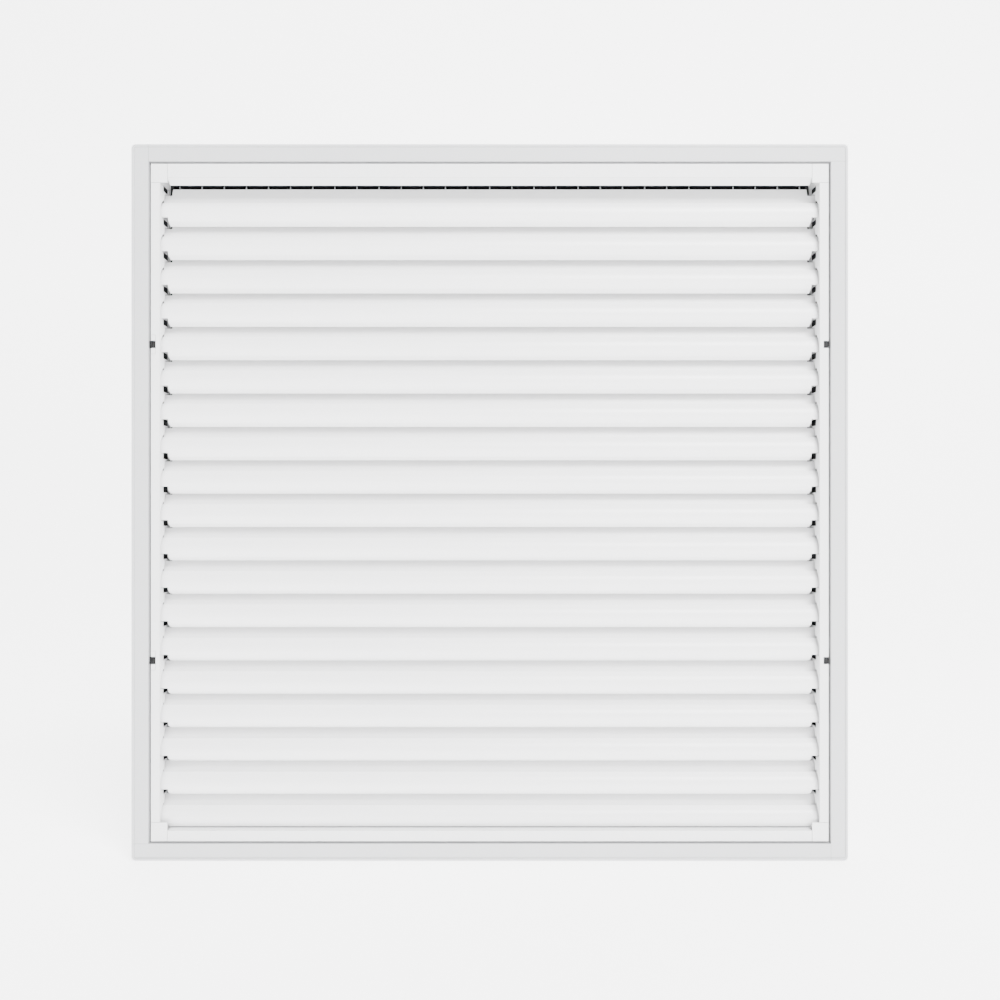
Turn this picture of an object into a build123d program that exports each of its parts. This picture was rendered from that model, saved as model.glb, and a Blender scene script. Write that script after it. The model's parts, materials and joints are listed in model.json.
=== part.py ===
"""Hinged louvred return-air grille: outer frame, swinging louvre core and lift-off filter cassette.

Frame: +Z up, +X to the right when facing the grille, +Y into the wall. The origin is the centre of
the plane on which the outer frame's flange seats. All sizes are in millimetres.
"""

import os

from build123d import *

# ---------------------------------------------------------------- driving dimensions
# outer frame: four flanged rails, butted pinwheel fashion
FRAME_SIZE = 595.0
FLANGE_WIDTH = 14.0
FLANGE_THICK = 1.6
RIM_WIDTH = 2.2
RIM_RISE = 0.6
RIM_ROUND = 0.5
FRAME_CORNER_RADIUS = 3.5
NECK_THICK = 1.4
NECK_DEPTH = 43.0
# corner angles behind the flange
ANGLE_THICK = 1.5
ANGLE_LEG = 26.0
ANGLE_FRONT = 6.0
ANGLE_WIDTH = 32.0
ANGLE_RIVET_DEPTHS = (12.0, 29.0)
# rivets
RIVET_RADIUS = 1.6
RIVET_HEAD_RADIUS = 2.8
RIVET_HEAD_THICK = 0.6
RIVET_FLAT_HEAD = 0.3
FIT_PLAY = 0.05
# screw holes through the neck
FIXING_RADIUS = 2.25
FIXING_SPAN = 400.0
FIXING_DEPTH = 36.0
# swinging core
CORE_GAP = 1.5
CORE_WALL = 1.2
CORE_DEPTH = 29.0
JAMB_FACE = 7.4
HEAD_FACE = 11.8
HEAD_LIP_DROP = 4.4
HEAD_LIP_BACK = 6.6
SILL_FACE = 9.0
SILL_LIP_BACK = 8.0
CORNER_FACE_WIDE = 13.6
CORNER_FACE_TALL = 15.6
JOINT_GAP = 0.1
FACE_JOINT = 0.2
# corner blocks: two arms that reach into the rails
ARM_THICK = 2.5
ARM_REACH = 32.0
ARM_FRONT = 8.0
ARM_WIDTH = 12.0
ARM_RIVET_INSET = 23.8
CORNER_FILLER = 6.0
# louvre blades
BLADE_COUNT = 19
BLADE_PITCH = 28.2
BLADE_THICK = 1.0
TOP_BLADE_FOOT = 233.5
BLADE_BODY_HALF = 269.8
BLADE_EAR_HALF = 277.2
BLADE_POINTS = (
    (13.6, 0.0),
    (8.0, 2.6),
    (5.6, 8.6),
    (8.2, 15.4),
    (11.4, 18.5),
    (14.2, 17.8),
    (20.4, 33.0),
)
EAR_LOW = 5.5
EAR_HIGH = 27.0
# openings in the jambs' inner webs, and the black retainer strips behind them
SLOT_PLAY = 0.25
SLOT_RELIEF = 3.2
WINDOW_FRONT = 9.5
WINDOW_BACK = 24.0
WINDOW_LOW = 0.6
WINDOW_HIGH = 6.0
RETAINER_THICK = 2.1
RETAINER_FRONT = 2.0
RETAINER_BACK = 27.6
RETAINER_HALF = 275.0
# hinge: black barrels on the frame, pins in eyes on the core
STATION = 131.6
PIN_RADIUS = 1.0
PIN_HALF = 7.8
PIN_INSET = 1.8
PIN_DEPTH = 1.6
BARREL_RADIUS = 1.9
BARREL_HALF = 2.8
BARREL_CLEAR = 0.3
WEB_THICK = 2.2
BLOCK_THICK = 2.6
BLOCK_HALF = 12.0
BLOCK_DEPTH = 18.0
BLOCK_RIVET = 8.0
BLOCK_RIVET_DEPTH = 11.0
BLOCK_ROUND = 1.0
NOTCH_HALF = 8.0
NOTCH_DEPTH = 6.0
EYE_SPINE_HALF = 20.0
EYE_SPINE_DEPTH = 14.0
EYE_RIVET_DEPTH = 9.0
# magnetic catch
CATCH_WIDTH = 3.95
CATCH_HALF = 2.8
CATCH_ROUND = 1.9
CATCH_PROUD = 0.2
STRIKE_GAP = 0.4
STRIKE_THICK = 1.2
STRIKE_HALF = 8.0
STRIKE_REACH = 3.6
STRIKE_LEG = 11.6
STRIKE_RIVET_SET = 6.8
# filter cassette
FILTER_HALF = 277.0
FILTER_FACE = 4.5
FILTER_FRONT = 29.8
FILTER_DEPTH = 12.0
FILTER_WALL = 0.8
MAT_HALF = 276.0
MAT_THICK = 7.5
WIRE_RADIUS = 0.6
WIRE_HALF = 275.8
WIRE_PITCH = 19.1
WIRE_COUNT = 29
# spring clips that hold the cassette
CLIP_THICK = 0.5
CLIP_HALF = 7.0
CLIP_LENGTH = 10.5
CLIP_FOOT = 3.0
CLIP_STATION = 190.0
CLIP_GAP = 0.3

# ---------------------------------------------------------------- derived places
FRAME_HALF = FRAME_SIZE / 2
OPENING_HALF = FRAME_HALF - FLANGE_WIDTH
NECK_HALF = OPENING_HALF + NECK_THICK
CORE_HALF = OPENING_HALF - CORE_GAP
CORE_INSIDE = CORE_HALF - CORE_WALL
JAMB_INNER = CORE_HALF - JAMB_FACE
RETAINER_INNER = JAMB_INNER + CORE_WALL + JOINT_GAP
RETAINER_OUTER = RETAINER_INNER + RETAINER_THICK
JAMB_HALF = CORE_HALF - CORNER_FACE_TALL - FACE_JOINT
RAIL_HALF = CORE_HALF - CORNER_FACE_WIDE - FACE_JOINT
PIN_X = CORE_HALF - PIN_INSET
ARM_RIVET = CORE_HALF - ARM_RIVET_INSET
ARM_RIVET_DEPTH = ARM_FRONT + ARM_WIDTH / 2
MAT_FRONT = FILTER_FRONT + FILTER_DEPTH - FILTER_WALL - JOINT_GAP - MAT_THICK
WIRE_DEPTH = FILTER_FRONT + FILTER_WALL + JOINT_GAP + WIRE_RADIUS

# Each side of the square, by the direction in which its rail runs, clockwise from the top left.
RUNS = {"top": (1, 0, 0), "right": (0, 0, -1), "bottom": (-1, 0, 0), "left": (0, 0, 1)}
STATIONS = (STATION, -STATION)
BLADE_FEET = [TOP_BLADE_FOOT - BLADE_PITCH * index for index in range(BLADE_COUNT)]

os.makedirs("parts", exist_ok=True)


def save(builder, name):
    """Label a finished piece and write it to a file of its own."""
    builder.part.label = name
    export_step(builder.part, f"parts/{name}.step")


def facing_plane(depth):
    """A plane parallel to the grille's face, depth behind the seating plane, looking forwards."""
    return Plane.XZ.offset(-depth)


def end_plane(side, start):
    """The plane across one side's rail, where its run is at start: local X is depth, local Y outwards."""
    run = Vector(*RUNS[side])
    return Plane(origin=run * start, x_dir=(0, 1, 0), z_dir=run)


def wall_plane(side, distance):
    """The plane along one side's wall, distance from the axis: local X is the run, local Y depth."""
    run = Vector(*RUNS[side])
    outwards = run.cross(Vector(0, 1, 0))
    return Plane(origin=outwards * distance, x_dir=run, z_dir=outwards)


def corner_pairs(span):
    """The two places near a side's ends, on either edge of the corner angle's width."""
    return [(at, depth) for at in (-span, span) for depth in ANGLE_RIVET_DEPTHS]


# ---------------------------------------------------------------- outer frame
FRAME_RIVET_PLACES = corner_pairs(NECK_HALF - ANGLE_LEG / 2)
FIXING_PLACES = [(at, FIXING_DEPTH) for at in (-FIXING_SPAN / 2, FIXING_SPAN / 2)]
BLOCK_RIVET_PLACES = [
    (at + step, BLOCK_RIVET_DEPTH) for at in STATIONS for step in (-BLOCK_RIVET, BLOCK_RIVET)
]
STRIKE_RIVET_DEPTH = CORE_DEPTH + STRIKE_GAP + STRIKE_RIVET_SET
STRIKE_RIVET_PLACES = [(at, STRIKE_RIVET_DEPTH) for at in STATIONS]
EXTRA_RIVET_PLACES = {"left": BLOCK_RIVET_PLACES, "right": STRIKE_RIVET_PLACES}


def make_frame_rail(side):
    """One rail: a flange with a raised rim, and a neck wall that goes back into the duct."""
    with BuildPart() as rail:
        with BuildSketch(facing_plane(0)):
            RectangleRounded(FRAME_SIZE, FRAME_SIZE, FRAME_CORNER_RADIUS)
            Rectangle(2 * OPENING_HALF, 2 * OPENING_HALF, mode=Mode.SUBTRACT)
        extrude(amount=FLANGE_THICK)
        with BuildSketch(facing_plane(0)):
            RectangleRounded(FRAME_SIZE, FRAME_SIZE, FRAME_CORNER_RADIUS)
            inner = FRAME_SIZE - 2 * RIM_WIDTH
            RectangleRounded(inner, inner, FRAME_CORNER_RADIUS - RIM_WIDTH, mode=Mode.SUBTRACT)
        extrude(amount=FLANGE_THICK + RIM_RISE)
        fillet(rail.faces().sort_by(Axis.Y)[0].edges(), radius=RIM_ROUND)
        with BuildSketch(facing_plane(0)):
            Rectangle(2 * NECK_HALF, 2 * NECK_HALF)
            Rectangle(2 * OPENING_HALF, 2 * OPENING_HALF, mode=Mode.SUBTRACT)
        extrude(amount=-NECK_DEPTH)
        # keep only this side's share of the ring
        with BuildSketch(end_plane(side, -OPENING_HALF)):
            with Locations((NECK_DEPTH / 2, OPENING_HALF + FLANGE_WIDTH / 2)):
                Rectangle(2 * NECK_DEPTH, FLANGE_WIDTH)
        extrude(amount=OPENING_HALF + FRAME_HALF, mode=Mode.INTERSECT)
        with BuildSketch(wall_plane(side, OPENING_HALF)):
            with Locations(*FRAME_RIVET_PLACES, *EXTRA_RIVET_PLACES.get(side, [])):
                Circle(RIVET_RADIUS + FIT_PLAY)
            with Locations(*FIXING_PLACES):
                Circle(FIXING_RADIUS)
            if side == "left":
                # windows through which the hinge barrels reach the core
                with Locations(*[(at, PIN_DEPTH) for at in STATIONS]):
                    Rectangle(2 * BARREL_HALF + 2 * JOINT_GAP, WEB_THICK + 2 * JOINT_GAP)
        extrude(amount=NECK_THICK, mode=Mode.SUBTRACT)
    save(rail, f"frame_rail_{side}")


def make_frame_corner_angles():
    """Four angles that tie the neck walls together from outside."""
    outer = NECK_HALF + ANGLE_THICK
    middle = NECK_HALF - ANGLE_LEG
    with BuildPart() as angles:
        with BuildSketch(facing_plane(ANGLE_FRONT)):
            RectangleRounded(2 * outer, 2 * outer, ANGLE_THICK)
            Rectangle(2 * NECK_HALF, 2 * NECK_HALF, mode=Mode.SUBTRACT)
            Rectangle(2 * middle, 2 * FRAME_SIZE, mode=Mode.SUBTRACT)
            Rectangle(2 * FRAME_SIZE, 2 * middle, mode=Mode.SUBTRACT)
        extrude(amount=-ANGLE_WIDTH)
        for side in RUNS:
            with BuildSketch(wall_plane(side, NECK_HALF)):
                with Locations(*FRAME_RIVET_PLACES):
                    Circle(RIVET_RADIUS + FIT_PLAY)
            extrude(amount=ANGLE_THICK, mode=Mode.SUBTRACT)
    save(angles, "frame_corner_angles")


def make_rivets(name, places_by_side, inner, grip):
    """Rivets through the neck: a head inside at inner, a shank over the grip, and a head outside."""
    layers = (
        (inner - RIVET_FLAT_HEAD, RIVET_HEAD_RADIUS, RIVET_FLAT_HEAD),
        (inner, RIVET_RADIUS, grip),
        (inner + grip, RIVET_HEAD_RADIUS, RIVET_HEAD_THICK),
    )
    with BuildPart() as rivets:
        for side, places in places_by_side.items():
            for distance, radius, thickness in layers:
                with BuildSketch(wall_plane(side, distance)):
                    with Locations(*places):
                        Circle(radius)
                extrude(amount=thickness)
    save(rivets, name)


def make_hinge_blocks():
    """Two black blocks behind the left neck wall, each with a web and a barrel that takes a pin."""
    web = NECK_HALF - PIN_X
    with BuildPart() as blocks:
        for at in STATIONS:
            with BuildSketch(wall_plane("left", NECK_HALF)):
                front = PIN_DEPTH - WEB_THICK / 2
                with Locations((at, (front + BLOCK_DEPTH) / 2)):
                    RectangleRounded(2 * BLOCK_HALF, BLOCK_DEPTH - front, BLOCK_ROUND)
            extrude(amount=BLOCK_THICK)
            with BuildSketch(Plane.XY.offset(at - BARREL_HALF)):
                with Locations((-PIN_X, PIN_DEPTH)):
                    Circle(BARREL_RADIUS)
                with Locations((-PIN_X - web / 2, PIN_DEPTH)):
                    Rectangle(web, WEB_THICK)
            extrude(amount=2 * BARREL_HALF)
            with BuildSketch(Plane.XY.offset(at - BARREL_HALF)):
                with Locations((-PIN_X, PIN_DEPTH)):
                    Circle(PIN_RADIUS + FIT_PLAY)
            extrude(amount=2 * BARREL_HALF, mode=Mode.SUBTRACT)
        with BuildSketch(wall_plane("left", NECK_HALF)):
            with Locations(*BLOCK_RIVET_PLACES):
                Circle(RIVET_RADIUS + FIT_PLAY)
        extrude(amount=BLOCK_THICK, mode=Mode.SUBTRACT)
    save(blocks, "hinge_blocks")


def make_catch_strikes():
    """Two steel angles inside the right neck wall, on which the magnetic catches close."""
    front = CORE_DEPTH + STRIKE_GAP
    face = OPENING_HALF - JOINT_GAP
    with BuildPart() as strikes:
        for at in STATIONS:
            with BuildSketch(Plane.XY.offset(at - STRIKE_HALF)):
                with Locations((face - STRIKE_REACH / 2, front + STRIKE_THICK / 2)):
                    Rectangle(STRIKE_REACH, STRIKE_THICK)
                with Locations((face - STRIKE_THICK / 2, front + STRIKE_LEG / 2)):
                    Rectangle(STRIKE_THICK, STRIKE_LEG)
            extrude(amount=2 * STRIKE_HALF)
        with BuildSketch(wall_plane("right", face - STRIKE_THICK)):
            with Locations(*STRIKE_RIVET_PLACES):
                Circle(RIVET_RADIUS + FIT_PLAY)
        extrude(amount=STRIKE_THICK, mode=Mode.SUBTRACT)
    save(strikes, "catch_strikes")


# ---------------------------------------------------------------- blade section and its openings
def blade_line(foot, forward=0.0):
    """The centre line of one blade, foot to head, as (depth, height): lip, bulb, shelf and leg."""
    heel, chin, nose, brow, shoulder, crease, head = [
        (depth - forward, foot + height) for depth, height in BLADE_POINTS
    ]
    with BuildLine() as line:
        Line(heel, chin)
        ThreePointArc(chin, nose, brow)
        Polyline(brow, shoulder, crease, head)
    return line.line


def ear_slots(plane, relief=0.0):
    """A sketch on a plane: one slot for each blade's ear, with play all round and relief in front."""
    width = BLADE_THICK + 2 * SLOT_PLAY + relief
    height = EAR_HIGH - EAR_LOW + 2 * SLOT_PLAY
    with BuildSketch(plane, mode=Mode.PRIVATE) as slots:
        for foot in BLADE_FEET:
            with BuildSketch(Plane.XY, mode=Mode.PRIVATE) as slot:
                trace(blade_line(foot, relief / 2), line_width=width)
                with Locations((CORE_DEPTH / 2, foot + (EAR_LOW + EAR_HIGH) / 2)):
                    Rectangle(CORE_DEPTH, height, mode=Mode.INTERSECT)
            add(slot.sketch)
    return slots.sketch


def web_windows(plane):
    """A sketch on a plane: the window under each blade, and one above the first."""
    feet = (BLADE_FEET[0] + BLADE_PITCH, *BLADE_FEET)
    depth = (WINDOW_FRONT + WINDOW_BACK) / 2
    height = (WINDOW_LOW + WINDOW_HIGH) / 2
    with BuildSketch(plane, mode=Mode.PRIVATE) as windows:
        with Locations(*[(depth, foot + height) for foot in feet]):
            Rectangle(WINDOW_BACK - WINDOW_FRONT, WINDOW_HIGH - WINDOW_LOW)
    return windows.sketch


# ---------------------------------------------------------------- swinging core: rails
def make_jamb(side, sign):
    """A side rail of the core: a flat box section whose inner web is slotted for the blades."""
    with BuildPart() as jamb:
        with BuildSketch(Plane.XY.offset(-JAMB_HALF)):
            for depth in (CORE_WALL / 2, CORE_DEPTH - CORE_WALL / 2):
                with Locations((sign * (CORE_HALF - JAMB_FACE / 2), depth)):
                    Rectangle(JAMB_FACE, CORE_WALL)
            for across in (CORE_HALF - CORE_WALL / 2, JAMB_INNER + CORE_WALL / 2):
                with Locations((sign * across, CORE_DEPTH / 2)):
                    Rectangle(CORE_WALL, CORE_DEPTH)
        extrude(amount=2 * JAMB_HALF)
        web = Plane.YZ.offset(sign * JAMB_INNER)
        extrude(ear_slots(web, SLOT_RELIEF), amount=sign * CORE_WALL, mode=Mode.SUBTRACT)
        extrude(web_windows(web), amount=sign * CORE_WALL, mode=Mode.SUBTRACT)
        if side == "left":
            notch_depth = NOTCH_DEPTH
            notch_half = NOTCH_HALF
            notch_inner = RETAINER_OUTER + JOINT_GAP
        else:
            notch_depth = CORE_DEPTH
            notch_half = CATCH_HALF + JOINT_GAP
            notch_inner = CORE_HALF - CATCH_WIDTH - JOINT_GAP
        with BuildSketch(facing_plane(notch_depth)):
            with Locations(*[(sign * (notch_inner + JAMB_FACE / 2), at) for at in STATIONS]):
                Rectangle(JAMB_FACE, 2 * notch_half)
        extrude(amount=notch_depth, mode=Mode.SUBTRACT)
        with BuildSketch(wall_plane(side, CORE_INSIDE)):
            with Locations(*core_rivet_places(side)):
                Circle(RIVET_RADIUS + FIT_PLAY)
        extrude(amount=CORE_WALL, mode=Mode.SUBTRACT)
    save(jamb, f"core_jamb_{side}")


def core_rivet_places(side):
    """Rivets through one outer leg of the core: corner arms at both ends, hinge eyes on the left."""
    places = [(at, ARM_RIVET_DEPTH) for at in (-ARM_RIVET, ARM_RIVET)]
    if side == "left":
        step = (NOTCH_HALF + EYE_SPINE_HALF) / 2
        places += [(at + way * step, EYE_RIVET_DEPTH) for at in STATIONS for way in (-1, 1)]
    return places


def make_head_rail():
    """The top rail of the core: outer leg, face, and a lip that slopes back over the first blade."""
    middle = CORE_WALL / 2
    foot = CORE_HALF - HEAD_FACE
    with BuildLine() as path:
        Polyline(
            (CORE_DEPTH, CORE_HALF - middle),
            (middle, CORE_HALF - middle),
            (middle, foot + middle),
            (middle + HEAD_LIP_BACK, foot + middle - HEAD_LIP_DROP),
        )
    with BuildPart() as rail:
        with BuildSketch(Plane.YZ.offset(-RAIL_HALF)):
            trace(path.line, line_width=CORE_WALL)
        extrude(amount=2 * RAIL_HALF)
        with BuildSketch(wall_plane("top", CORE_INSIDE)):
            with Locations(*core_rivet_places("top")):
                Circle(RIVET_RADIUS + FIT_PLAY)
        extrude(amount=CORE_WALL, mode=Mode.SUBTRACT)
    save(rail, "core_head_rail")


def make_sill_rail():
    """The bottom rail of the core: outer leg, face, and a level ledge under the last blade."""
    middle = CORE_WALL / 2
    ledge = CORE_HALF - SILL_FACE + middle
    with BuildLine() as path:
        Polyline(
            (CORE_DEPTH, middle - CORE_HALF),
            (middle, middle - CORE_HALF),
            (middle, -ledge),
            (SILL_LIP_BACK, -ledge),
        )
    with BuildPart() as rail:
        with BuildSketch(Plane.YZ.offset(-RAIL_HALF)):
            trace(path.line, line_width=CORE_WALL)
        extrude(amount=2 * RAIL_HALF)
        with BuildSketch(wall_plane("bottom", CORE_INSIDE)):
            with Locations(*core_rivet_places("bottom")):
                Circle(RIVET_RADIUS + FIT_PLAY)
        extrude(amount=CORE_WALL, mode=Mode.SUBTRACT)
    save(rail, "core_sill_rail")


def make_corner_block(level, side, up, right):
    """A corner of the core: square face, two outer walls, and an arm into each neighbouring rail."""
    arm_out = CORE_INSIDE - JOINT_GAP
    with BuildPart() as block:
        with BuildSketch(facing_plane(0)):
            with Locations((right * CORE_HALF, up * CORE_HALF)):
                Rectangle(2 * CORNER_FACE_WIDE, 2 * CORNER_FACE_TALL)
            Rectangle(2 * CORE_HALF, 2 * CORE_HALF, mode=Mode.INTERSECT)
        extrude(amount=-CORE_WALL)
        with BuildSketch(facing_plane(0)):
            with Locations((right * CORE_HALF, up * CORE_HALF)):
                Rectangle(2 * CORNER_FACE_WIDE, 2 * CORNER_FACE_TALL)
            Rectangle(2 * CORE_HALF, 2 * CORE_HALF, mode=Mode.INTERSECT)
            Rectangle(2 * CORE_INSIDE, 2 * CORE_INSIDE, mode=Mode.SUBTRACT)
        extrude(amount=-CORE_DEPTH)
        # a fin carries the jamb's inner web on behind the face
        fin_side = right * (JAMB_INNER + CORE_WALL / 2)
        fin_level = up * (CORE_HALF - CORNER_FACE_TALL / 2)
        with BuildSketch(facing_plane(0)):
            with Locations((fin_side, fin_level)):
                Rectangle(CORE_WALL, CORNER_FACE_TALL)
        extrude(amount=-CORE_DEPTH)
        web = Plane.YZ.offset(right * JAMB_INNER)
        extrude(ear_slots(web, SLOT_RELIEF), amount=right * CORE_WALL, mode=Mode.SUBTRACT)
        extrude(web_windows(web), amount=right * CORE_WALL, mode=Mode.SUBTRACT)
        # the arms lie against the inside of the outer legs and join the walls at the corner
        with BuildSketch(facing_plane(ARM_FRONT)):
            with Locations((right * arm_out, up * arm_out)):
                Rectangle(2 * ARM_REACH, 2 * ARM_REACH)
            Rectangle(2 * arm_out, 2 * arm_out, mode=Mode.INTERSECT)
            inner = arm_out - ARM_THICK
            Rectangle(2 * inner, 2 * inner, mode=Mode.SUBTRACT)
            filler = CORE_HALF - CORNER_FILLER / 2
            with Locations((right * filler, up * filler)):
                Rectangle(CORNER_FILLER, CORNER_FILLER)
        extrude(amount=-ARM_WIDTH)
        for wall in ("top" if up > 0 else "bottom", "right" if right > 0 else "left"):
            with BuildSketch(wall_plane(wall, arm_out - ARM_THICK)):
                with Locations(*[(at, ARM_RIVET_DEPTH) for at in (-ARM_RIVET, ARM_RIVET)]):
                    Circle(RIVET_RADIUS + FIT_PLAY)
            extrude(amount=ARM_THICK, mode=Mode.SUBTRACT)
    save(block, f"core_corner_{level}_{side}")


def make_core_rivets():
    """Low-headed rivets through the core's outer legs, into the corner arms and hinge eyes."""
    shank = CORE_WALL + JOINT_GAP + ARM_THICK
    with BuildPart() as rivets:
        for side in RUNS:
            for distance, radius, thickness in (
                (CORE_HALF - shank, RIVET_RADIUS, shank),
                (CORE_HALF, RIVET_HEAD_RADIUS, RIVET_HEAD_THICK),
            ):
                with BuildSketch(wall_plane(side, distance)):
                    with Locations(*core_rivet_places(side)):
                        Circle(radius)
                extrude(amount=thickness)
    save(rivets, "core_rivets")


# ---------------------------------------------------------------- swinging core: blades
def make_blade(number, foot):
    """One ogee blade: a full section over its length, and a shorter ear at each end."""
    centre_line = blade_line(foot)
    ear_middle = foot + (EAR_LOW + EAR_HIGH) / 2
    with BuildPart() as blade:
        with BuildSketch(Plane.YZ.offset(-BLADE_EAR_HALF)):
            trace(centre_line, line_width=BLADE_THICK)
            with Locations((CORE_DEPTH / 2, ear_middle)):
                Rectangle(CORE_DEPTH, EAR_HIGH - EAR_LOW, mode=Mode.INTERSECT)
        extrude(amount=2 * BLADE_EAR_HALF)
        with BuildSketch(Plane.YZ.offset(-BLADE_BODY_HALF)):
            trace(centre_line, line_width=BLADE_THICK)
        extrude(amount=2 * BLADE_BODY_HALF)
    save(blade, f"blade_{number:02d}")


def make_retainer(side, sign):
    """A black strip behind a jamb's inner web, slotted to hold the blades' ears."""
    with BuildPart() as retainer:
        with BuildSketch(Plane.YZ.offset(sign * RETAINER_INNER)):
            with Locations(((RETAINER_FRONT + RETAINER_BACK) / 2, 0)):
                Rectangle(RETAINER_BACK - RETAINER_FRONT, 2 * RETAINER_HALF)
        extrude(amount=sign * RETAINER_THICK)
        inner = Plane.YZ.offset(sign * RETAINER_INNER)
        extrude(ear_slots(inner), amount=sign * RETAINER_THICK, mode=Mode.SUBTRACT)
    save(retainer, f"blade_retainer_{side}")


# ---------------------------------------------------------------- swinging core: hinge and catch
def make_hinge_eyes():
    """Two hinge eyes in the left jamb: a spine inside the channel and a lug above and below the barrel."""
    outer = CORE_INSIDE - JOINT_GAP
    inner = RETAINER_OUTER + JOINT_GAP
    gap = 2 * (BARREL_HALF + BARREL_CLEAR)
    lug_half = NOTCH_HALF - JOINT_GAP
    with BuildPart() as eyes:
        with BuildSketch(Plane.YZ.offset(-outer)):
            with Locations(*[((CORE_WALL + JOINT_GAP + EYE_SPINE_DEPTH) / 2, at) for at in STATIONS]):
                Rectangle(EYE_SPINE_DEPTH - CORE_WALL - JOINT_GAP, 2 * EYE_SPINE_HALF)
        extrude(amount=outer - inner)
        with BuildSketch(Plane.YZ.offset(-CORE_HALF)):
            with Locations(*[((NOTCH_DEPTH - JOINT_GAP) / 2, at) for at in STATIONS]):
                Rectangle(NOTCH_DEPTH - JOINT_GAP, 2 * lug_half)
        extrude(amount=CORE_HALF - inner - JOINT_GAP)
        with BuildSketch(Plane.YZ.offset(-CORE_HALF)):
            depth = PIN_DEPTH + BARREL_RADIUS + BARREL_CLEAR
            with Locations(*[(depth - NOTCH_DEPTH, at) for at in STATIONS]):
                Rectangle(2 * NOTCH_DEPTH, gap)
        extrude(amount=JAMB_FACE, mode=Mode.SUBTRACT)
        for at in STATIONS:
            with BuildSketch(Plane.XY.offset(at - PIN_HALF)):
                with Locations((-PIN_X, PIN_DEPTH)):
                    Circle(PIN_RADIUS + FIT_PLAY)
            extrude(amount=2 * PIN_HALF, mode=Mode.SUBTRACT)
        eye_rivets = [place for place in core_rivet_places("left") if abs(place[0]) < ARM_RIVET]
        with BuildSketch(wall_plane("left", inner)):
            with Locations(*eye_rivets):
                Circle(RIVET_RADIUS + FIT_PLAY)
        extrude(amount=outer - inner, mode=Mode.SUBTRACT)
    save(eyes, "hinge_eyes")


def make_hinge_pins():
    """Two steel pins, one through each hinge."""
    with BuildPart() as pins:
        for at in STATIONS:
            with BuildSketch(Plane.XY.offset(at - PIN_HALF + JOINT_GAP)):
                with Locations((-PIN_X, PIN_DEPTH)):
                    Circle(PIN_RADIUS)
            extrude(amount=2 * (PIN_HALF - JOINT_GAP))
    save(pins, "hinge_pins")


def make_catch_magnets():
    """Two black magnet holders let into the right jamb from the front, rounded towards the blades."""
    length = CATCH_PROUD + CORE_DEPTH + JOINT_GAP
    with BuildPart() as magnets:
        with BuildSketch(facing_plane(-CATCH_PROUD)):
            with Locations(*[(CORE_HALF - CATCH_WIDTH, at) for at in STATIONS]):
                RectangleRounded(2 * CATCH_WIDTH, 2 * CATCH_HALF, CATCH_ROUND)
        extrude(amount=-length)
        split(bisect_by=Plane.YZ.offset(CORE_HALF - CATCH_WIDTH), keep=Keep.TOP)
    save(magnets, "catch_magnets")


# ---------------------------------------------------------------- filter cassette
def make_filter_rail(side):
    """One C-section rail of the cassette, open inwards; the top and bottom rails run the full width."""
    half = FILTER_HALF if side in ("top", "bottom") else FILTER_HALF - FILTER_FACE - JOINT_GAP
    with BuildPart() as rail:
        with BuildSketch(end_plane(side, -half)):
            depth = FILTER_FRONT + FILTER_DEPTH / 2
            outwards = FILTER_HALF - FILTER_FACE / 2
            with Locations((depth, outwards)):
                Rectangle(FILTER_DEPTH, FILTER_FACE)
            with Locations((depth, outwards - FILTER_WALL)):
                Rectangle(FILTER_DEPTH - 2 * FILTER_WALL, FILTER_FACE, mode=Mode.SUBTRACT)
        extrude(amount=2 * half)
    save(rail, f"filter_rail_{side}")


def make_filter_mat():
    """The filter mat, a plain slab as large as the cassette's inside."""
    with BuildPart() as mat:
        with BuildSketch(facing_plane(MAT_FRONT)):
            Rectangle(2 * MAT_HALF, 2 * MAT_HALF)
        extrude(amount=-MAT_THICK)
    save(mat, "filter_mat")


def make_filter_wires(name, across, depth):
    """One layer of the support mesh: parallel wires from rail to rail."""
    start = Plane.YZ.offset(-WIRE_HALF) if across else Plane.XY.offset(-WIRE_HALF)
    span = [(step - WIRE_COUNT // 2) * WIRE_PITCH for step in range(WIRE_COUNT)]
    places = [(depth, at) if across else (at, depth) for at in span]
    with BuildPart() as wires:
        with BuildSketch(start):
            with Locations(*places):
                Circle(WIRE_RADIUS)
        extrude(amount=2 * WIRE_HALF)
    save(wires, name)


def make_filter_clips():
    """Four spring clips on the jambs' rear lips, whose leaves grip the cassette's sides."""
    foot_front = CORE_DEPTH + FIT_PLAY
    leaf_inner = FILTER_HALF + CLIP_GAP
    leaf_outer = leaf_inner + CLIP_THICK
    with BuildPart() as clips:
        for at in (CLIP_STATION, -CLIP_STATION):
            with BuildSketch(Plane.XY.offset(at - CLIP_HALF)):
                for sign in (-1, 1):
                    with Locations((sign * (leaf_outer - CLIP_FOOT / 2), foot_front + CLIP_THICK / 2)):
                        Rectangle(CLIP_FOOT, CLIP_THICK)
                    with Locations((sign * (leaf_inner + leaf_outer) / 2, foot_front + CLIP_LENGTH / 2)):
                        Rectangle(CLIP_THICK, CLIP_LENGTH)
            extrude(amount=2 * CLIP_HALF)
    save(clips, "filter_clips")


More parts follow.
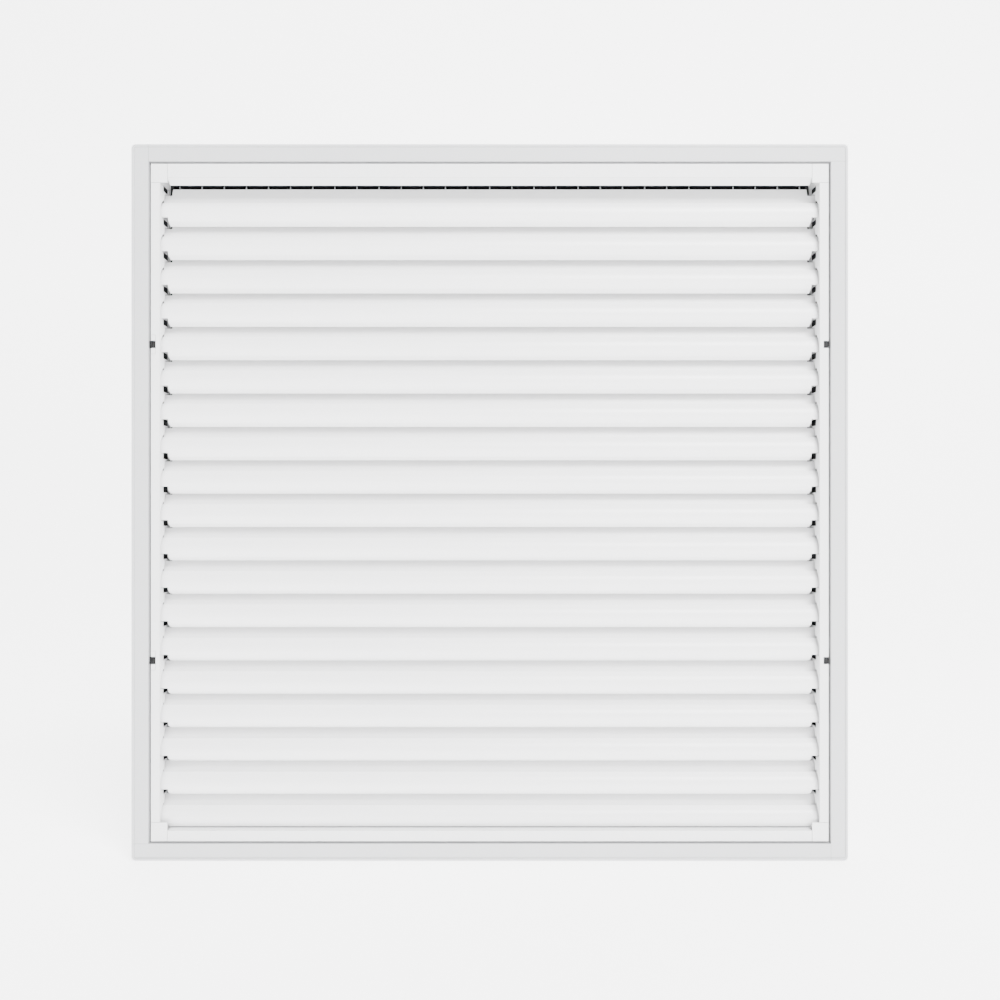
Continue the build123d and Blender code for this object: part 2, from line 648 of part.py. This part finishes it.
# ---------------------------------------------------------------- build everything
for frame_side in RUNS:
    make_frame_rail(frame_side)
make_frame_corner_angles()
make_rivets(
    "frame_corner_rivets",
    {side: FRAME_RIVET_PLACES for side in RUNS},
    OPENING_HALF,
    NECK_THICK + ANGLE_THICK,
)
make_hinge_blocks()
make_rivets("hinge_rivets", {"left": BLOCK_RIVET_PLACES}, OPENING_HALF, NECK_THICK + BLOCK_THICK)
make_catch_strikes()
make_rivets(
    "strike_rivets",
    {"right": STRIKE_RIVET_PLACES},
    OPENING_HALF - JOINT_GAP - STRIKE_THICK,
    JOINT_GAP + STRIKE_THICK + NECK_THICK,
)

make_jamb("left", -1)
make_jamb("right", 1)
make_head_rail()
make_sill_rail()
for up, level in ((1, "top"), (-1, "bottom")):
    for right, hand in ((-1, "left"), (1, "right")):
        make_corner_block(level, hand, up, right)
make_core_rivets()
for blade_number, blade_foot in enumerate(BLADE_FEET, start=1):
    make_blade(blade_number, blade_foot)
make_retainer("left", -1)
make_retainer("right", 1)
make_hinge_eyes()
make_hinge_pins()
make_catch_magnets()

for filter_side in RUNS:
    make_filter_rail(filter_side)
make_filter_mat()
make_filter_wires("filter_wires_upright", across=False, depth=WIRE_DEPTH)
make_filter_wires("filter_wires_level", across=True, depth=WIRE_DEPTH + 2 * WIRE_RADIUS)
make_filter_clips()
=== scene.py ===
"""The look of the hinged louvred return-air grille: finishes, a fibre filter mat, floor, lights, camera."""

import json
import math

import bmesh
import bpy
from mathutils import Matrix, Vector


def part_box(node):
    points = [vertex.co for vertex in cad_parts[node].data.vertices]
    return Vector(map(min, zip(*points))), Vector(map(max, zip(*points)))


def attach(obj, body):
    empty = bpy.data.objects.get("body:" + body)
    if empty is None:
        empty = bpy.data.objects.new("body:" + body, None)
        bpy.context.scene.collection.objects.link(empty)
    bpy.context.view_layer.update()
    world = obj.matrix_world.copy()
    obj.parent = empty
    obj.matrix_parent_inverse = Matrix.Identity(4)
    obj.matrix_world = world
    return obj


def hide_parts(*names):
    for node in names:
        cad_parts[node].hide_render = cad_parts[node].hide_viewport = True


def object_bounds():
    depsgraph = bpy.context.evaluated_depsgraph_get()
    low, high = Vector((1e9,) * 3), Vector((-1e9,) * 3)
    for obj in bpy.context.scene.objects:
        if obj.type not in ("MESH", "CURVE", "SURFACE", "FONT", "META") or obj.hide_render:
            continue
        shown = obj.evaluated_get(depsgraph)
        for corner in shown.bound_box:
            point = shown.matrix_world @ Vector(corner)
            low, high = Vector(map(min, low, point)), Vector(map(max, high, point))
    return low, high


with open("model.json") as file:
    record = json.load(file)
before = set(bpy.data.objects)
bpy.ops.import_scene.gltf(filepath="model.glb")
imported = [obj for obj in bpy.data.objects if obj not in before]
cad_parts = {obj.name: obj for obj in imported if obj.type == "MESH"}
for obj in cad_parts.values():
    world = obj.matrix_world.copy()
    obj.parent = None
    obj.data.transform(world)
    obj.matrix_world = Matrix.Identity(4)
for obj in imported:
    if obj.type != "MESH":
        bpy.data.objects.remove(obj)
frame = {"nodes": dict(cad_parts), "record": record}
cad_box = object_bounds()

MM = 0.001
SLOT_OF = {row["node"]: row["material_slot"] for row in frame["record"]["subparts"]}


# ------------------------------------------------------------------ node helpers
BEVEL_SAMPLES = 6
# Noise seldom leaves this range, so it's stretched from here to the range a finish asks for.
NOISE_LOW = 0.3
NOISE_HIGH = 0.7


class Finish:
    """A material under construction: its shader, and short ways to add and join nodes."""

    def __init__(self, name, colour, roughness, metallic=0.0):
        self.material = bpy.data.materials.new(name)
        self.material.use_nodes = True
        self.tree = self.material.node_tree
        self.shader = self.tree.nodes["Principled BSDF"]
        self.set("Base Color", (*colour, 1))
        self.set("Roughness", roughness)
        self.set("Metallic", metallic)
        self.place = self.tree.nodes.new("ShaderNodeTexCoord").outputs["Object"]

    def set(self, socket, value):
        """One value for the whole surface, on the shader's own socket."""
        self.shader.inputs[socket].default_value = value

    def drive(self, socket, source):
        """A node's output into one of the shader's sockets."""
        self.join(source, self.shader.inputs[socket])

    def add(self, kind, **settings):
        """A new node with those settings."""
        node = self.tree.nodes.new(kind)
        for key, value in settings.items():
            setattr(node, key, value)
        return node

    def join(self, source, target):
        """A link from an output to an input."""
        self.tree.links.new(source, target)

    def noise(self, per_metre, detail, stretch=(1, 1, 1)):
        """Noise from 0 to 1, with about so many bumps per metre; a stretch under 1 draws them out."""
        mapping = self.add("ShaderNodeMapping")
        mapping.inputs["Scale"].default_value = stretch
        self.join(self.place, mapping.inputs["Vector"])
        node = self.add("ShaderNodeTexNoise")
        node.inputs["Scale"].default_value = per_metre
        node.inputs["Detail"].default_value = detail
        self.join(mapping.outputs["Vector"], node.inputs["Vector"])
        return node.outputs["Fac"]

    def cells(self, per_metre):
        """A flat grey from 0 to 1 for each cell, about so many of them per metre."""
        node = self.add("ShaderNodeTexVoronoi")
        node.inputs["Scale"].default_value = per_metre
        self.join(self.place, node.inputs["Vector"])
        grey = self.add("ShaderNodeRGBToBW")
        self.join(node.outputs["Color"], grey.inputs["Color"])
        return grey.outputs["Val"]

    def remap(self, value, old, new):
        """A value moved from one range to another, and kept inside the new one."""
        node = self.add("ShaderNodeMapRange")
        for key, number in zip(("From Min", "From Max", "To Min", "To Max"), (*old, *new)):
            node.inputs[key].default_value = number
        self.join(value, node.inputs["Value"])
        return node.outputs["Result"]

    def spread(self, value, low=0.0, high=1.0):
        """Noise spread over a range, so that its usual values fill it."""
        return self.remap(value, (NOISE_LOW, NOISE_HIGH), (low, high))

    def math(self, operation, first, second):
        """Two values put together; the second may be a number."""
        node = self.add("ShaderNodeMath", operation=operation)
        self.join(first, node.inputs[0])
        if isinstance(second, float):
            node.inputs[1].default_value = second
        else:
            self.join(second, node.inputs[1])
        return node.outputs["Value"]

    def blend(self, factor, first, second):
        """One colour mixed into another by factor; each may be a colour or a node's output."""
        node = self.add("ShaderNodeMix", data_type="RGBA")
        self.join(factor, node.inputs["Factor"])
        sockets = [socket for socket in node.inputs if socket.type == "RGBA"]
        for socket, colour in zip(sockets, (first, second)):
            if isinstance(colour, tuple):
                socket.default_value = (*colour, 1)
            else:
                self.join(colour, socket)
        return [socket for socket in node.outputs if socket.type == "RGBA"][0]

    def rounded_normal(self, radius):
        """The normal that the surface would have if its sharp edges were rounded."""
        bevel = self.add("ShaderNodeBevel", samples=BEVEL_SAMPLES)
        bevel.inputs["Radius"].default_value = radius
        return bevel.outputs["Normal"]

    def edges(self, radius, start, end):
        """A mask that rises along sharp edges, as the rounded normal turns away from the true one."""
        geometry = self.add("ShaderNodeNewGeometry")
        dot = self.add("ShaderNodeVectorMath", operation="DOT_PRODUCT")
        self.join(self.rounded_normal(radius), dot.inputs[0])
        self.join(geometry.outputs["Normal"], dot.inputs[1])
        return self.remap(dot.outputs["Value"], (start, end), (0.0, 1.0))

    def bump(self, height, distance, strength, soft_edge=0.0):
        """Relief from a height value; soft_edge rounds the look of sharp edges by that radius."""
        node = self.add("ShaderNodeBump")
        node.inputs["Distance"].default_value = distance
        node.inputs["Strength"].default_value = strength
        self.join(height, node.inputs["Height"])
        if soft_edge:
            self.join(self.rounded_normal(soft_edge), node.inputs["Normal"])
        self.drive("Normal", node.outputs["Normal"])


def tint(colour, factor):
    """A colour made lighter or darker by a factor."""
    return tuple(min(1.0, channel * factor) for channel in colour)


# ------------------------------------------------------------------ finishes
def powder_coat(name, colour, roughness, edge_shade):
    """White powder coat: fine orange peel, faint cloudiness, and painted shade that darkens its sharp
    edges.
    """
    finish = Finish(name, colour, roughness)
    cloud = finish.spread(finish.noise(per_metre=9.0, detail=4.0))
    body = finish.blend(cloud, tint(colour, 0.985), tint(colour, 1.01))
    speck = finish.spread(finish.noise(per_metre=260.0, detail=3.0), high=0.35)
    body = finish.blend(speck, body, tint(colour, 0.955))
    # Painted shade: the coat is darkened along sharp edges to draw dark lines there.
    edge = finish.edges(radius=0.6 * MM, start=0.985, end=0.90)
    finish.drive("Base Color", finish.blend(edge, body, tint(colour, edge_shade)))
    patches = finish.noise(per_metre=45.0, detail=3.0)
    finish.drive("Roughness", finish.spread(patches, roughness - 0.05, roughness + 0.06))
    finish.set("Coat Weight", 0.12)
    finish.set("Coat Roughness", 0.3)
    peel = finish.noise(per_metre=1400.0, detail=2.0)
    finish.bump(peel, distance=0.03 * MM, strength=0.5, soft_edge=0.35 * MM)
    return finish.material


def rolled_coat(name, colour, roughness):
    """Coated rolled strip for the blades: powder coat with faint draw lines along its length, and painted
    shade along its sharp edges.
    """
    finish = Finish(name, colour, roughness)
    lines = finish.spread(finish.noise(per_metre=420.0, detail=3.0, stretch=(0.01, 1, 1)))
    body = finish.blend(lines, tint(colour, 0.982), tint(colour, 1.008))
    cloud = finish.spread(finish.noise(per_metre=7.0, detail=3.0), high=0.5)
    body = finish.blend(cloud, body, tint(colour, 0.975))
    # Painted shade: the blade's sharp edges are darkened to draw dark lines along them.
    edge = finish.edges(radius=0.5 * MM, start=0.985, end=0.90)
    finish.drive("Base Color", finish.blend(edge, body, tint(colour, 0.66)))
    patches = finish.noise(per_metre=60.0, detail=3.0)
    finish.drive("Roughness", finish.spread(patches, roughness - 0.04, roughness + 0.06))
    finish.set("Coat Weight", 0.15)
    finish.set("Coat Roughness", 0.28)
    peel = finish.noise(per_metre=1300.0, detail=2.0)
    finish.bump(peel, distance=0.025 * MM, strength=0.45, soft_edge=0.4 * MM)
    return finish.material


def moulded_nylon(name, colour, roughness):
    """Black moulded nylon: a fine spark-eroded grain, duller patches and rubbed edges."""
    finish = Finish(name, colour, roughness)
    patch = finish.spread(finish.noise(per_metre=70.0, detail=4.0))
    body = finish.blend(patch, tint(colour, 0.75), tint(colour, 1.5))
    edge = finish.edges(radius=0.5 * MM, start=0.98, end=0.88)
    finish.drive("Base Color", finish.blend(edge, body, tint(colour, 2.2)))
    finish.drive("Roughness", finish.spread(patch, roughness - 0.08, roughness + 0.08))
    finish.set("Specular IOR Level", 0.25)
    grain = finish.noise(per_metre=2600.0, detail=3.0)
    finish.bump(grain, distance=0.05 * MM, strength=0.6, soft_edge=0.25 * MM)
    return finish.material


def zinc_plate(name, colour, roughness):
    """Zinc-plated steel: soft spangles, rolling lines and brighter worn edges."""
    finish = Finish(name, colour, roughness, metallic=1.0)
    body = finish.blend(finish.cells(per_metre=190.0), tint(colour, 0.86), tint(colour, 1.1))
    edge = finish.edges(radius=0.4 * MM, start=0.98, end=0.86)
    finish.drive("Base Color", finish.blend(edge, body, tint(colour, 1.35)))
    streaks = finish.noise(per_metre=700.0, detail=3.0, stretch=(1, 1, 0.04))
    finish.drive("Roughness", finish.spread(streaks, roughness - 0.08, roughness + 0.12))
    finish.bump(streaks, distance=0.02 * MM, strength=0.5, soft_edge=0.2 * MM)
    return finish.material


def plain_aluminium(name, colour, roughness):
    """Rivet aluminium: cold-headed, slightly scuffed."""
    finish = Finish(name, colour, roughness, metallic=1.0)
    scuff = finish.noise(per_metre=520.0, detail=5.0)
    finish.drive("Base Color", finish.blend(finish.spread(scuff), tint(colour, 0.82), tint(colour, 1.08)))
    finish.drive("Roughness", finish.spread(scuff, roughness - 0.08, roughness + 0.15))
    finish.bump(scuff, distance=0.03 * MM, strength=0.5, soft_edge=0.3 * MM)
    return finish.material


def black_coat(name, colour, roughness):
    """Black coated strip of the filter cassette: a little dust, and a lighter line along its edges."""
    finish = Finish(name, colour, roughness)
    dust = finish.spread(finish.noise(per_metre=30.0, detail=5.0), high=0.5)
    body = finish.blend(dust, colour, tint(colour, 1.9))
    edge = finish.edges(radius=0.5 * MM, start=0.97, end=0.84)
    finish.drive("Base Color", finish.blend(edge, body, tint(colour, 4.0)))
    peel = finish.noise(per_metre=1500.0, detail=2.0)
    finish.bump(peel, distance=0.03 * MM, strength=0.5, soft_edge=0.25 * MM)
    return finish.material


def matted_fibre(name, colour, roughness):
    """Coarse black synthetic fibre: crossing strands coloured by their height, with painted highlight on
    the tips and painted shade in the deep gaps between them.
    """
    finish = Finish(name, colour, roughness)
    upright = finish.noise(per_metre=900.0, detail=4.0, stretch=(1, 1, 0.12))
    level = finish.noise(per_metre=850.0, detail=4.0, stretch=(0.12, 1, 1))
    tufts = finish.noise(per_metre=380.0, detail=5.0)
    strands = finish.math("MAXIMUM", upright, level)
    height = finish.math("MULTIPLY", finish.math("ADD", strands, tufts), 0.5)
    # Painted light: the colour follows the height, darker in the gaps as painted shade and lighter on the
    # tips as painted highlight.
    finish.drive("Base Color", finish.blend(finish.spread(height), tint(colour, 0.35), tint(colour, 2.6)))
    finish.set("Specular IOR Level", 0.15)
    finish.set("Sheen Weight", 0.03)
    finish.set("Sheen Roughness", 0.6)
    finish.bump(height, distance=0.9 * MM, strength=0.9)
    return finish.material


# Colours are linear. The frame's white is set darker than the core's and the blades' as painted shade on
# the flange.
FRAME_WHITE_SHADED = (0.52, 0.525, 0.535)
CORE_WHITE = (0.80, 0.805, 0.81)
BLADE_WHITE = (0.87, 0.87, 0.875)
NYLON_BLACK = (0.007, 0.007, 0.0075)
ZINC_GREY = (0.56, 0.57, 0.59)
RIVET_GREY = (0.72, 0.72, 0.73)
COAT_BLACK = (0.010, 0.010, 0.011)
FIBRE_BLACK = (0.0075, 0.0075, 0.0085)

finishes = {
    # The frame's coat is the same white as the core's, made darker as painted shade.
    "frame_white": powder_coat("frame_white_coat_shaded", FRAME_WHITE_SHADED, roughness=0.42, edge_shade=0.5),
    "core_white": powder_coat("core_white_coat", CORE_WHITE, roughness=0.42, edge_shade=0.66),
    "blade_white": rolled_coat("blade_white_coat", BLADE_WHITE, roughness=0.40),
    "black_nylon": moulded_nylon("black_nylon_grain", NYLON_BLACK, roughness=0.62),
    "zinc_steel": zinc_plate("zinc_steel_plate", ZINC_GREY, roughness=0.34),
    "rivet_aluminium": plain_aluminium("rivet_aluminium_scuffed", RIVET_GREY, roughness=0.36),
    "filter_black": black_coat("filter_black_coat", COAT_BLACK, roughness=0.5),
    "filter_fibre": matted_fibre("filter_fibre_matted", FIBRE_BLACK, roughness=0.95),
}

for node_name, node in frame["nodes"].items():
    for material_slot in node.material_slots:
        material_slot.material = finishes[SLOT_OF[node_name]]


# ------------------------------------------------------------------ filter mat
MAT_STEPS = 150
# The mat gets thinner by up to the pinch within this distance of its edge, on each face.
MAT_EDGE = 9.0 * MM
MAT_PINCH = 1.6 * MM
MAT_RELIEF = 0.22 * MM
# Each wave is radians per metre across, radians per metre up, and phase.
WAVES = (
    (53.0, 31.0, 0.3),
    (-41.0, 67.0, 1.9),
    (97.0, -88.0, 4.1),
    (171.0, 149.0, 2.6),
    (-233.0, 207.0, 5.2),
)


def mat_relief(across, up):
    """Shallow lumps of the needled fibre, between -1 and 1."""
    total = sum(math.sin(a * across + b * up + phase) for a, b, phase in WAVES)
    return total / len(WAVES)


def mat_sheet(work, low, high, front):
    """The vertices of one face of the mat, as rows from the bottom to the top."""
    rows = []
    for level in range(MAT_STEPS + 1):
        row = []
        for step in range(MAT_STEPS + 1):
            x = low[0] + (high[0] - low[0]) * step / MAT_STEPS
            z = low[2] + (high[2] - low[2]) * level / MAT_STEPS
            margin = min(x - low[0], high[0] - x, z - low[2], high[2] - z)
            pinch = MAT_PINCH * max(0.0, 1.0 - margin / MAT_EDGE) ** 2
            sink = pinch + MAT_RELIEF * (1.0 + mat_relief(x, z if front else -z))
            y = low[1] + sink if front else high[1] - sink
            row.append(work.verts.new((x, y, z)))
        rows.append(row)
    return rows


def mat_border():
    """The grid places round the mat's edge, in order."""
    steps = range(MAT_STEPS)
    border = [(0, step) for step in steps]
    border += [(level, MAT_STEPS) for level in steps]
    border += [(MAT_STEPS, MAT_STEPS - step) for step in steps]
    border += [(MAT_STEPS - level, 0) for level in steps]
    return border


def make_filter_mat():
    """A thin crowned pad of fibre that is pinched where the cassette's rails hold its edges."""
    low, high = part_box("filter_mat")
    mesh = bpy.data.meshes.new("filter_mat_fibre")
    work = bmesh.new()
    near = mat_sheet(work, low, high, front=True)
    far = mat_sheet(work, low, high, front=False)
    for rows, flip in ((near, False), (far, True)):
        for level in range(MAT_STEPS):
            for step in range(MAT_STEPS):
                corner = [rows[level][step], rows[level][step + 1],
                          rows[level + 1][step + 1], rows[level + 1][step]]
                work.faces.new(corner[::-1] if flip else corner)
    border = mat_border()
    for (level, step), (next_level, next_step) in zip(border, border[1:] + border[:1]):
        work.faces.new((near[next_level][next_step], near[level][step],
                        far[level][step], far[next_level][next_step]))
    bmesh.ops.recalc_face_normals(work, faces=work.faces)
    for face in work.faces:
        face.smooth = True
    work.to_mesh(mesh)
    work.free()
    mat = bpy.data.objects.new("filter_mat_fibre", mesh)
    bpy.context.collection.objects.link(mat)
    mat.data.materials.append(finishes["filter_fibre"])
    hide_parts("filter_mat")
    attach(mat, "filter")


make_filter_mat()

# ------------------------------------------------------------------ floor and backdrop
# The sweep in metres: half its width, its front and back ends, its curve and its height.
SWEEP_HALF = 3.0
SWEEP_FRONT = -3.0
SWEEP_BACK = 1.4
SWEEP_RADIUS = 0.8
SWEEP_TOP = 3.2
SWEEP_STEPS = 24
FLOOR_GAP = 0.5 * MM
PAPER_WHITE = (0.92, 0.92, 0.92)
PAPER_DARK = (0.91, 0.91, 0.91)
PAPER_LIGHT = (0.93, 0.93, 0.93)
PAPER_GLOW = 2.8


def make_sweep():
    """A pale floor that curves up into a backdrop."""
    floor = cad_box[0][2] - FLOOR_GAP
    profile = [(SWEEP_FRONT, floor), (SWEEP_BACK - SWEEP_RADIUS, floor)]
    for step in range(1, SWEEP_STEPS + 1):
        angle = math.pi / 2 * step / SWEEP_STEPS
        profile.append((SWEEP_BACK - SWEEP_RADIUS + SWEEP_RADIUS * math.sin(angle),
                        floor + SWEEP_RADIUS * (1 - math.cos(angle))))
    profile.append((SWEEP_BACK, SWEEP_TOP))
    mesh = bpy.data.meshes.new("studio_sweep")
    work = bmesh.new()
    left = [work.verts.new((-SWEEP_HALF, y, z)) for y, z in profile]
    right = [work.verts.new((SWEEP_HALF, y, z)) for y, z in profile]
    for step in range(len(profile) - 1):
        face = work.faces.new((left[step], right[step], right[step + 1], left[step + 1]))
        face.smooth = True
    work.to_mesh(mesh)
    work.free()
    sweep = bpy.data.objects.new("studio_sweep", mesh)
    bpy.context.collection.objects.link(sweep)
    paper = Finish("studio_paper", PAPER_WHITE, roughness=0.9)
    fleck = paper.spread(paper.noise(per_metre=30.0, detail=3.0))
    paper.drive("Base Color", paper.blend(fleck, PAPER_DARK, PAPER_LIGHT))
    paper.set("Emission Color", (1, 1, 1, 1))
    paper.set("Emission Strength", PAPER_GLOW)
    mesh.materials.append(paper.material)


make_sweep()


# ------------------------------------------------------------------ light
# Places and sizes in metres, powers in watts. The key stands high in front and a little to the
# right, and gives the blades their shading; the fill is broad, low and weak.
KEY_PLACE = (0.8, -1.7, 2.05)
KEY_SIZE = 1.1
KEY_POWER = 215
FILL_PLACE = (0.9, -2.4, 0.1)
FILL_SIZE = 2.0
FILL_POWER = 25
WORLD_STRENGTH = 0.95


def area_light(name, place, size, power):
    """A soft square light aimed at the grille's centre."""
    data = bpy.data.lights.new(name, "AREA")
    data.shape = "SQUARE"
    data.size = size
    data.energy = power
    lamp = bpy.data.objects.new(name, data)
    lamp.location = place
    lamp.rotation_euler = (-Vector(place)).to_track_quat("-Z", "Y").to_euler()
    bpy.context.collection.objects.link(lamp)


area_light("key_light", KEY_PLACE, KEY_SIZE, KEY_POWER)
area_light("fill_light", FILL_PLACE, FILL_SIZE, FILL_POWER)

world = bpy.data.worlds.new("studio")
world.use_nodes = True
background = world.node_tree.nodes["Background"]
background.inputs["Color"].default_value = (1, 1, 1, 1)
background.inputs["Strength"].default_value = WORLD_STRENGTH
bpy.context.scene.world = world

# ------------------------------------------------------------------ camera
# The distance from the flange's face in metres, the lens and sensor in millimetres, and the shifts
# in picture widths.
CAMERA_DISTANCE = 0.830
LENS = 36.0
SENSOR = 36.0
SHIFT_ACROSS = 0.01025
SHIFT_UP = 0.0025
CLIP_START = 0.01

flange_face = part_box("frame_rail_top")[0][1]
camera_data = bpy.data.cameras.new("camera")
camera_data.lens = LENS
camera_data.sensor_width = SENSOR
camera_data.shift_x = SHIFT_ACROSS
camera_data.shift_y = SHIFT_UP
camera_data.clip_start = CLIP_START
camera = bpy.data.objects.new("camera", camera_data)
camera.location = (0, flange_face - CAMERA_DISTANCE, 0)
camera.rotation_euler = (math.radians(90), 0, 0)
bpy.context.collection.objects.link(camera)
bpy.context.scene.camera = camera
